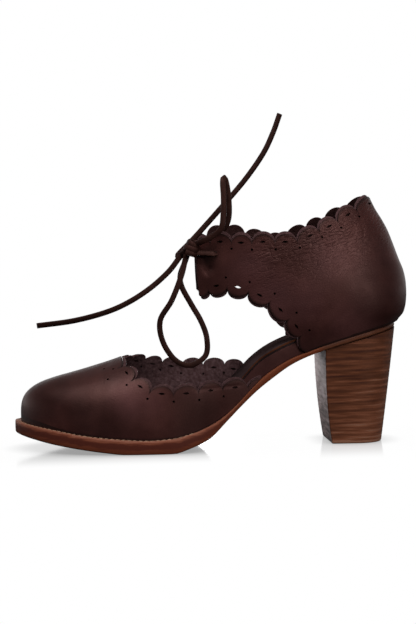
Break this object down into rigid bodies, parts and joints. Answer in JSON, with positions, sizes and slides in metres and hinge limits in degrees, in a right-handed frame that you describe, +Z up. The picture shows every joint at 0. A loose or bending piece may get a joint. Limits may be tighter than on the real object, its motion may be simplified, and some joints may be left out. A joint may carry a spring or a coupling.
{
  "type": "high heel shoe",
  "caption": "Lace-up high heel shoe with a closed round toe, a separate counter with ankle straps tied by a thong, scalloped edges and a stacked block heel.",
  "frame": {"origin": "on the floor, under the middle of the shoe's box without the free lace", "axes": "+X from toe to heel, +Y to the inner side of the foot, +Z up"},
  "size_m": [0.2478, 0.0844, 0.2065],
  "materials": {
    "upper_leather": "dark brown, soft sheen, fine grain",
    "sole_leather": "reddish brown, waxed edge",
    "heel_stack": "dark brown stacked lifts, polished",
    "sock_leather": "grey brown, matt",
    "lace_leather": "dark brown thong, matt"
  },
  "bodies": {
    "root": {"outsole": "sole_leather", "insole": "sock_leather", "heel": "heel_stack", "vamp": "upper_leather", "quarter": "upper_leather", "lace_bar": "lace_leather", "lace_knot": "lace_leather", "lace_end_up": "lace_leather", "lace_end_fore": "lace_leather", "lace_loop_down": "lace_leather", "lace_loop_up": "lace_leather"}
  },
  "joints": []
}
